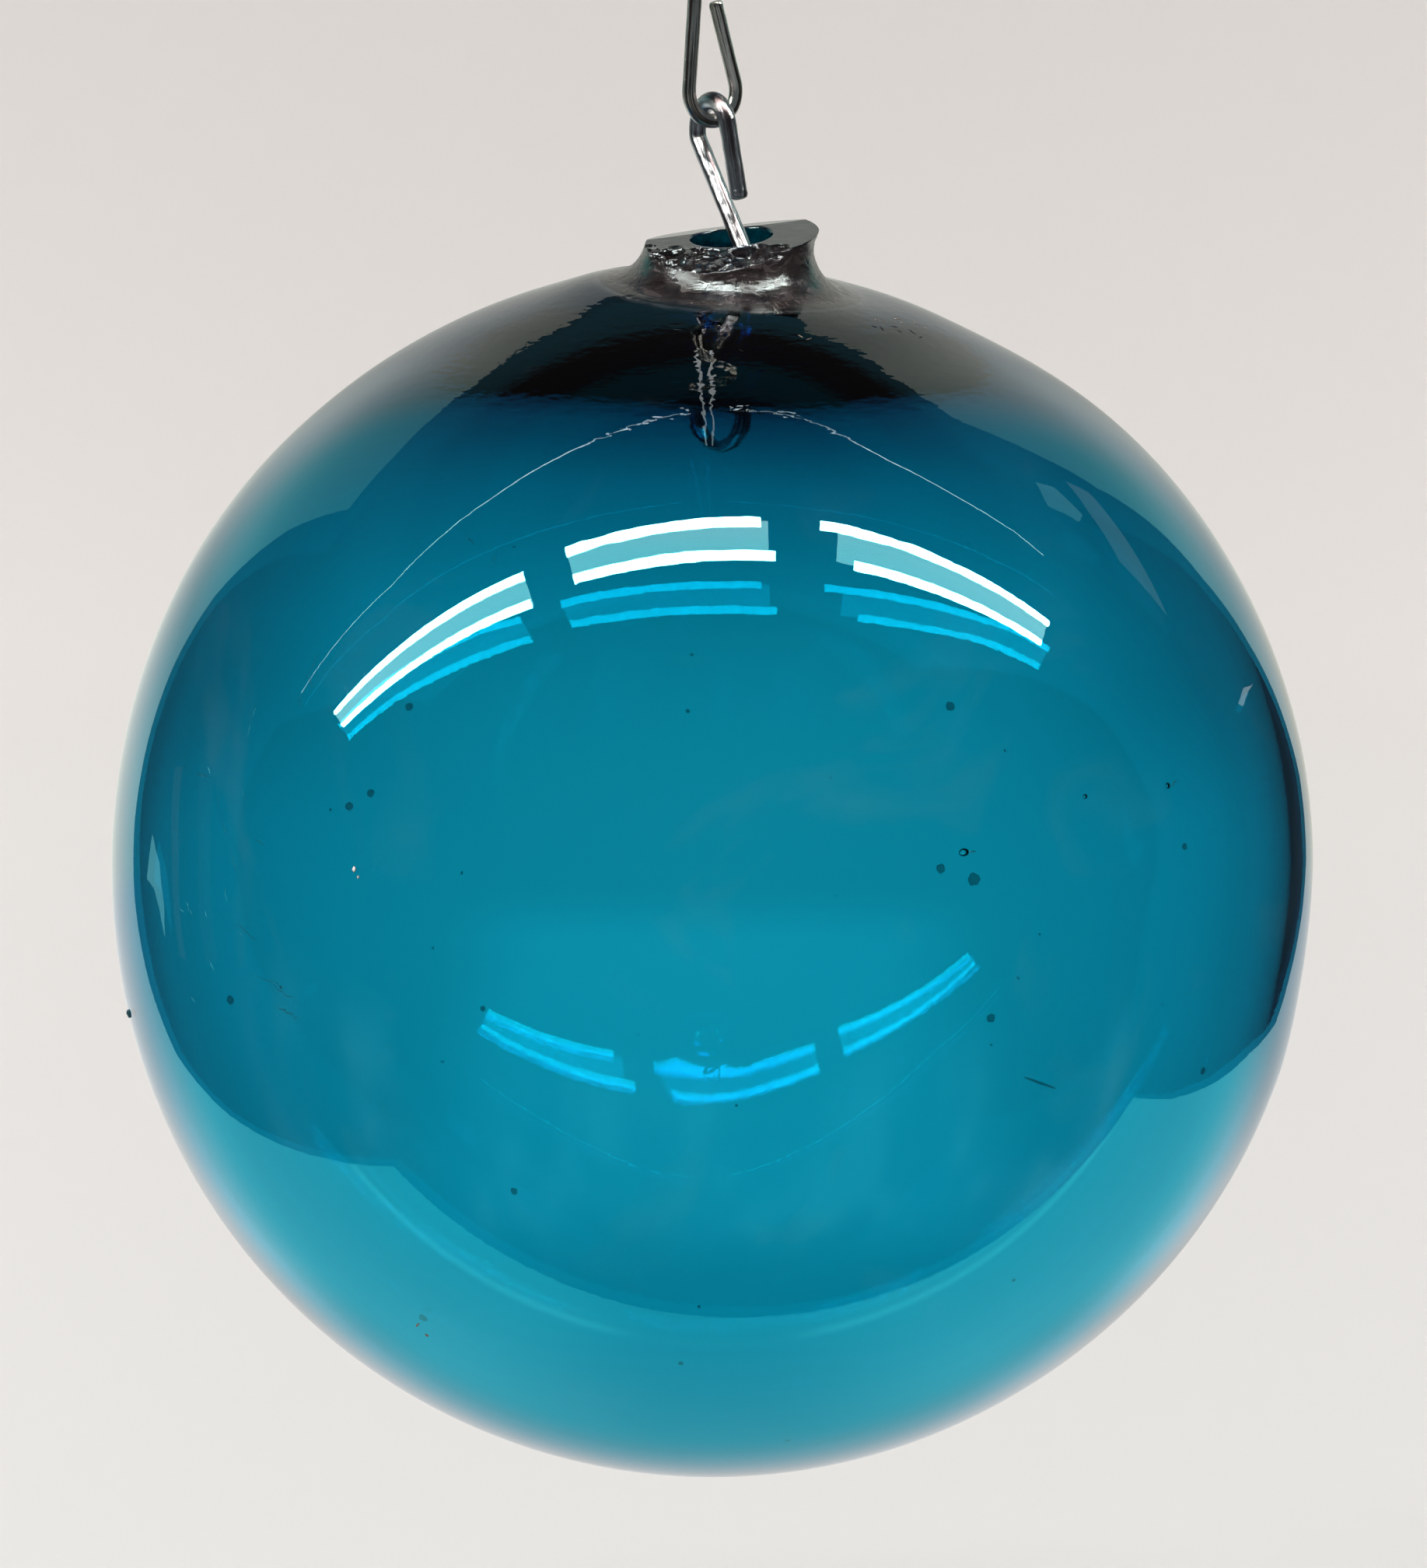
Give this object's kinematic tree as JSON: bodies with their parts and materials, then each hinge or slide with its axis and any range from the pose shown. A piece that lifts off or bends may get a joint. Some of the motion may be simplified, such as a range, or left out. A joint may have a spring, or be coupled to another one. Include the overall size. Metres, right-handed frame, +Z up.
{
  "type": "witch ball",
  "caption": "Hollow blown-glass ball with a broken neck collar, hung from the inside on two linked bent-wire S-hooks.",
  "frame": {"origin": "hanging point, inside the top of the upper hook's open loop", "axes": "+Z up along the plumb line through the centre of the ball; the lower hook is bent in the XZ plane and the upper hook in the YZ plane"},
  "size_m": [0.1489, 0.149, 0.2021],
  "materials": {
    "teal_glass": "clear blown glass, smooth outside, with seeds and specks; broken faces on the collar",
    "lower_wire": "bright plated steel wire with fine draw lines and scuffs",
    "upper_wire": "bright plated steel wire, slightly yellowed"
  },
  "bodies": {
    "upper_hook": {"upper_hook": "upper_wire"},
    "lower_hook": {"lower_hook": "lower_wire"},
    "glass_ball": {"glass_ball": "teal_glass"}
  },
  "joints": [
    {"name": "link_swing", "type": "hinge", "parent": "upper_hook", "child": "lower_hook", "pos_m": [0, 0, -0.035], "axis": [0, 1, 0], "range_deg": [-60, 60]},
    {"name": "ball_spin", "type": "hinge", "parent": "lower_hook", "child": "glass_ball", "pos_m": [0.00386, 0, -0.04646], "axis": [0.0488, 0, 0.9988], "continuous": true}
  ]
}
